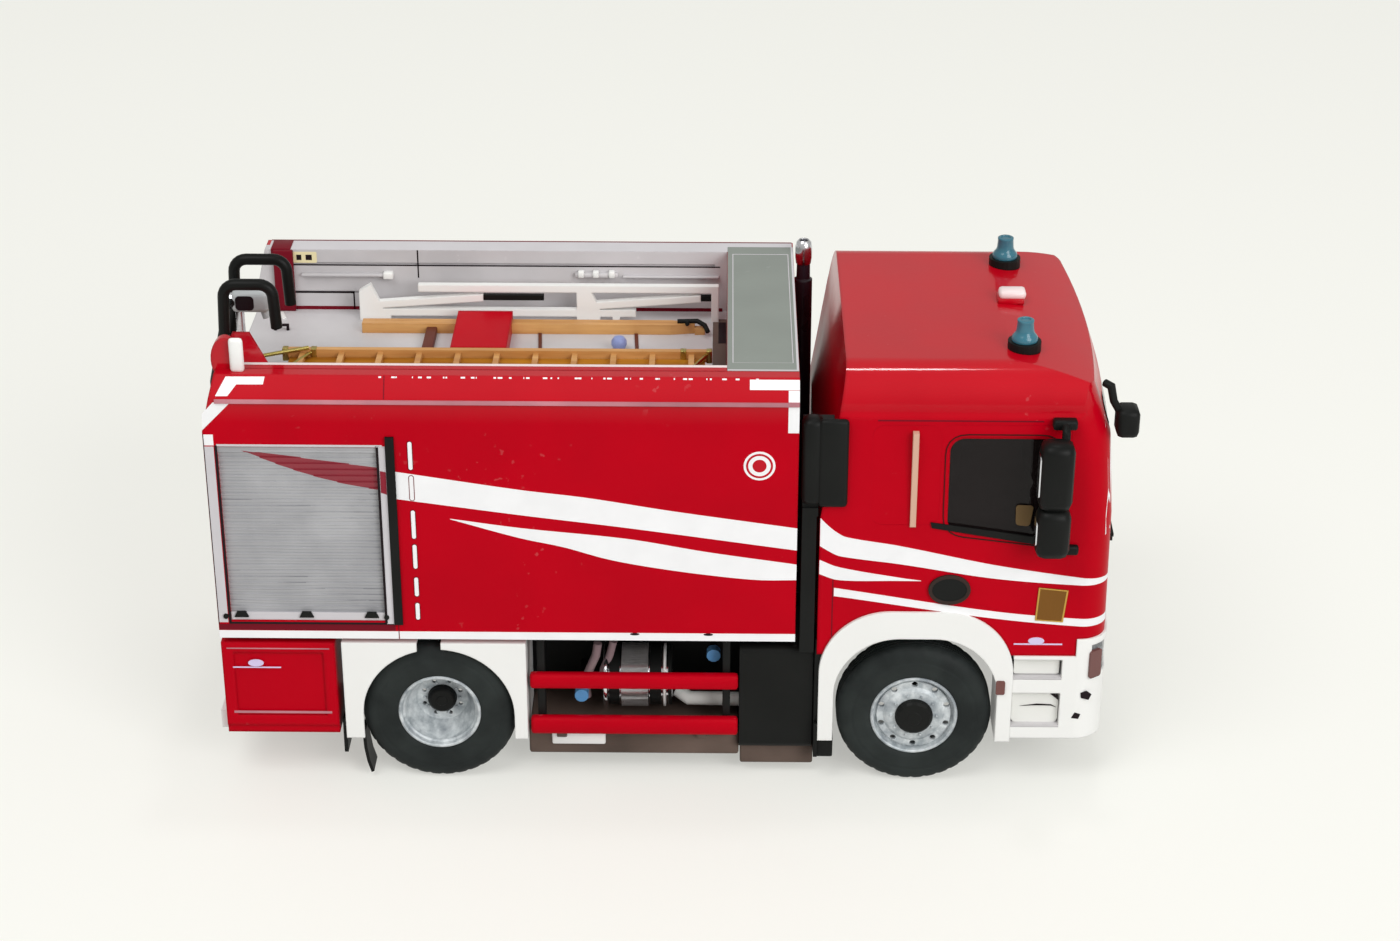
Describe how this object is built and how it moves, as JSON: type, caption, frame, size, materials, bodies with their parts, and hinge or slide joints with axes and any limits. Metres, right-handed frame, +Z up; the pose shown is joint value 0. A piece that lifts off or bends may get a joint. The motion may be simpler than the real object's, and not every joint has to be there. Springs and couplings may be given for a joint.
{
  "type": "model fire engine",
  "caption": "Scale model of a fire engine: cab, locker body with roller shutters and roof ladder, on axle sets that roll freely.",
  "frame": {"origin": "middle of the model's length and width, on the surface that the tyres stand on", "axes": "+X forward, +Y to the vehicle's left, +Z up"},
  "size_m": [0.0702, 0.034, 0.0386],
  "materials": {
    "red_paint": "glossy red paint on moulded plastic",
    "white_paint": "glossy white paint",
    "black_plastic": "satin black moulding",
    "tyre_rubber": "matte soft tyre",
    "rim_silver": "silver grey paint",
    "bright_plating": "bright plating",
    "shutter_grey": "grey print with fine slats",
    "deck_grey": "light grey paint",
    "lid_grey": "grey green paint",
    "trim_pink": "pale trim line",
    "pipe_white": "white paint",
    "wood_paint": "wood coloured paint",
    "amber_paint": "amber paint",
    "saddle_brown": "dark brown paint",
    "beacon_blue": "tinted lens",
    "cap_blue": "blue paint",
    "window_glass": "clear moulding",
    "lamp_lens": "clear lens over a dark well",
    "tail_red": "red lens",
    "seat_tan": "tan paint",
    "strip_beige": "beige paint"
  },
  "bodies": {
    "root": {"body_box": "red_paint", "corner_header": "red_paint", "rear_lockers": "red_paint", "side_guards": "red_paint", "cab_shell": "red_paint", "load_clamp": "red_paint", "rear_fenders": "white_paint", "front_fenders": "white_paint", "front_bumper": "white_paint", "rack_frame": "white_paint", "tail_bumper": "white_paint", "roof_lamp": "white_paint", "chassis_frame": "black_plastic", "body_subframe": "black_plastic", "drawbar_coupling": "black_plastic", "shutter_posts": "black_plastic", "mudflaps": "black_plastic", "chassis_boxes": "black_plastic", "drain_stems": "black_plastic", "cab_floor": "black_plastic", "dashboard": "black_plastic", "steering_wheel": "black_plastic", "grille": "black_plastic", "wipers": "black_plastic", "beacon_bases": "black_plastic", "main_mirrors": "black_plastic", "kerb_mirror": "black_plastic", "air_snorkel": "black_plastic", "rack_struts": "black_plastic", "rear_ladder": "black_plastic", "door_handles": "black_plastic", "air_tank": "black_plastic", "exhaust_drum": "bright_plating", "exhaust_stack": "bright_plating", "work_lamp": "bright_plating", "side_shutters": "shutter_grey", "tail_shutter": "shutter_grey", "roof_tray": "deck_grey", "step_treads": "deck_grey", "locker_lid": "lid_grey", "gutter_rails": "trim_pink", "side_pipe": "pipe_white", "roof_ladder": "wood_paint", "hook_pole": "wood_paint", "roof_ladder_fly": "amber_paint", "ladder_saddles": "saddle_brown", "beacon_domes": "beacon_blue", "drain_caps": "cap_blue", "side_windows": "window_glass", "windscreen": "window_glass", "headlamps": "lamp_lens", "tail_lamps": "tail_red", "cab_seats": "seat_tan", "grab_strips": "strip_beige"},
    "front_axle_set": {"front_axle_rod": "black_plastic", "front_rims": "rim_silver", "front_tyres": "tyre_rubber"},
    "rear_axle_set": {"rear_axle_rod": "black_plastic", "rear_rims": "rim_silver", "rear_tyres": "tyre_rubber"}
  },
  "joints": [
    {"name": "front_axle_spin", "type": "hinge", "parent": "root", "child": "front_axle_set", "pos_m": [0.01892, 0, 0.006], "axis": [0, 1, 0], "continuous": true},
    {"name": "rear_axle_spin", "type": "hinge", "parent": "root", "child": "rear_axle_set", "pos_m": [-0.01781, 0, 0.006], "axis": [0, 1, 0], "continuous": true}
  ]
}
